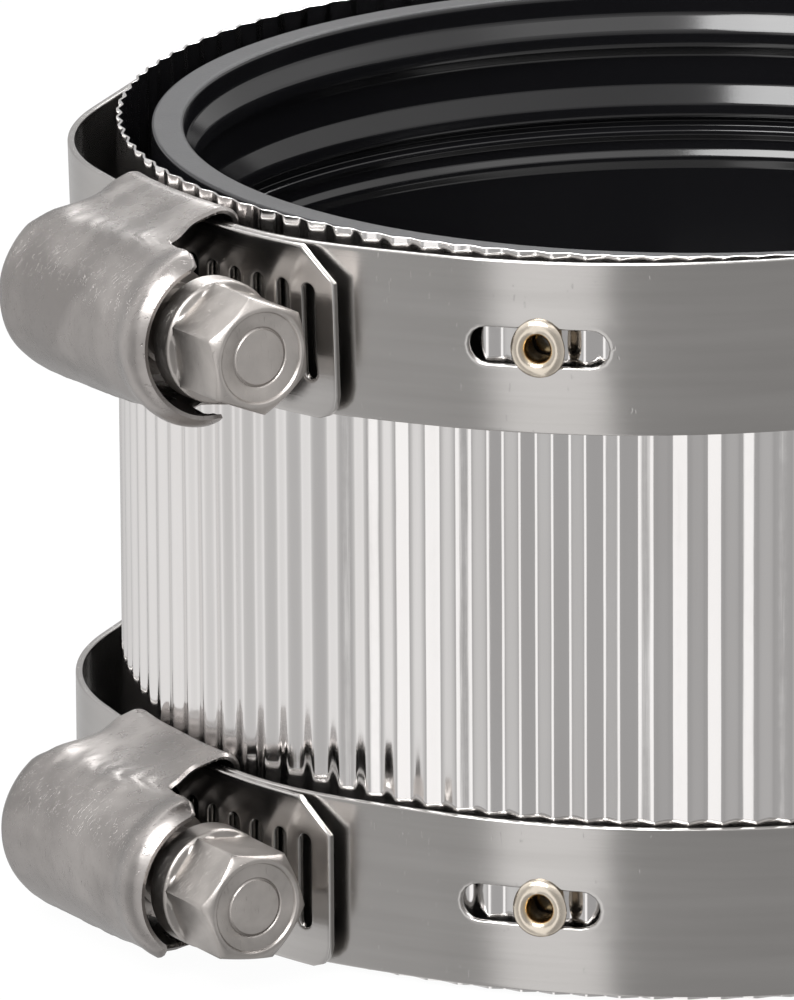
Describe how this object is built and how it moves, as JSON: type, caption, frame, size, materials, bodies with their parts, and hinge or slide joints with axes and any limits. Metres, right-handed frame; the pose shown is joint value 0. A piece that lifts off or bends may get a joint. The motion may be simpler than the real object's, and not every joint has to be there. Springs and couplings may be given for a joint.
{
  "type": "shielded pipe coupling",
  "caption": "Rubber sleeve in a corrugated stainless shield, drawn tight round two plain pipe ends by worm-drive band clamps.",
  "frame": {"origin": "middle of the shield, on its axis at mid height", "axes": "+Z along the pipe axis, -Y to the front; both clamp screws stand at the front left, with heads to the front"},
  "size_m": [0.1052, 0.098, 0.064],
  "materials": {
    "gasket_rubber": "satin",
    "shield_steel": "polished",
    "strap_steel": "brushed",
    "housing_steel": "satin",
    "screw_steel": "satin",
    "eyelet_metal": "polished"
  },
  "bodies": {
    "shield_body": {"shield": "shield_steel", "upper_eyelet": "eyelet_metal", "lower_eyelet": "eyelet_metal"},
    "gasket_body": {"gasket": "gasket_rubber"},
    "upper_clamp": {"upper_band": "strap_steel", "upper_saddle": "housing_steel", "upper_housing": "housing_steel"},
    "upper_tail": {"upper_band_tail": "strap_steel"},
    "upper_worm": {"upper_screw": "screw_steel"},
    "lower_clamp": {"lower_band": "strap_steel", "lower_saddle": "housing_steel", "lower_housing": "housing_steel"},
    "lower_tail": {"lower_band_tail": "strap_steel"},
    "lower_worm": {"lower_screw": "screw_steel"}
  },
  "joints": [
    {"name": "gasket_lift", "type": "slide", "parent": "shield_body", "child": "gasket_body", "axis": [0, 0, 1], "range_m": [0, 0.07]},
    {"name": "upper_clamp_shift", "type": "hinge", "parent": "shield_body", "child": "upper_clamp", "pos_m": [0, 0, 0.02385], "axis": [-0.0244, 0, 0.9997], "range_deg": [-4.7, 4.5]},
    {"name": "upper_screw_turn", "type": "hinge", "parent": "upper_clamp", "child": "upper_worm", "pos_m": [-0.04516, -0.03048, 0.0223], "axis": [-0.559, 0.829, -0.0137], "range_deg": [-720, 1080]},
    {"name": "upper_tail_feed", "type": "hinge", "parent": "upper_clamp", "child": "upper_tail", "pos_m": [0.00821, 0.00554, 0.02405], "axis": [-0.0244, 0, 0.9997], "range_deg": [-5.4, 8.1]},
    {"name": "lower_clamp_shift", "type": "hinge", "parent": "shield_body", "child": "lower_clamp", "pos_m": [0, 0, -0.02355], "axis": [0, 0, 1], "range_deg": [-3.7, 5.5]},
    {"name": "lower_screw_turn", "type": "hinge", "parent": "lower_clamp", "child": "lower_worm", "pos_m": [-0.04571, -0.02968, -0.024], "axis": [-0.5446, 0.8387, 0], "range_deg": [-720, 1080]},
    {"name": "lower_tail_feed", "type": "hinge", "parent": "lower_clamp", "child": "lower_tail", "pos_m": [0.0083, 0.00539, -0.02355], "axis": [0, 0, 1], "range_deg": [-5.4, 8.1]}
  ],
  "couplings": [
    {"joint": "upper_tail_feed", "follows": "upper_screw_turn", "ratio": 0.0074272},
    {"joint": "lower_tail_feed", "follows": "lower_screw_turn", "ratio": 0.0074272}
  ]
}
